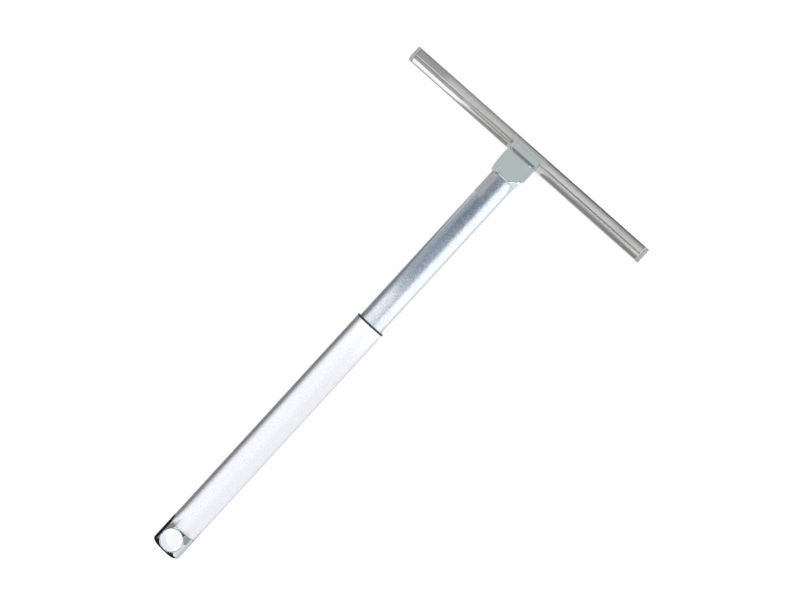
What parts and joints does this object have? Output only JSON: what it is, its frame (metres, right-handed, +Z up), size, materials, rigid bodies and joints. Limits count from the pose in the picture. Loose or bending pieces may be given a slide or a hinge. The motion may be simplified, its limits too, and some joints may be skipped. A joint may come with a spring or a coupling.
{
  "type": "shower squeegee",
  "caption": "Telescopic shower squeegee: a satin metal handle with a hanging eye, a sliding inner tube, a chromed head and a wide rolled channel that holds a silicone blade.",
  "frame": {"origin": "on the ground under the middle of the squeegee's length and of its blade, with the squeegee lying on its back at full length", "axes": "+Y along the handle from the hanging eye to the blade, +X along the blade, +Z up out of the front face"},
  "size_m": [0.25, 0.4444, 0.0175],
  "materials": {
    "satin_aluminium_outer": "satin anodised tube, pale silver with a fine grain",
    "grained_aluminium_inner": "bead-blasted and anodised tube, cooler silver with a granular sparkle",
    "black_nylon": "moulded nylon, dull black",
    "natural_nylon": "moulded nylon, undyed",
    "chromed_zinc": "zinc die casting, polished and chromed",
    "brushed_stainless_channel": "stainless strip, brushed along its length",
    "screw_steel": "plain machined steel",
    "spring_steel": "tempered strip",
    "frosted_silicone": "extruded silicone, frosted and slightly see-through",
    "grey_moulded_cap": "moulded pale grey plastic"
  },
  "bodies": {
    "outer_handle": {"outer_tube": "satin_aluminium_outer", "mouth_bush": "black_nylon", "end_cap": "chromed_zinc", "cap_screw": "screw_steel"},
    "sliding_head": {"inner_tube": "grained_aluminium_inner", "slider_plug": "natural_nylon", "friction_spring_front": "spring_steel", "friction_spring_back": "spring_steel", "slider_pin": "screw_steel", "tube_anchor": "natural_nylon", "head_connector": "chromed_zinc", "head_screw": "screw_steel", "head_jaw": "chromed_zinc", "jaw_screw_left": "screw_steel", "jaw_screw_right": "screw_steel", "blade_channel": "brushed_stainless_channel", "blade_rubber": "frosted_silicone", "channel_cap_left": "grey_moulded_cap", "channel_cap_right": "grey_moulded_cap"}
  },
  "joints": [
    {"name": "telescope_slide", "type": "slide", "parent": "outer_handle", "child": "sliding_head", "axis": [0, 1, 0], "range_m": [-0.157, 0]}
  ]
}
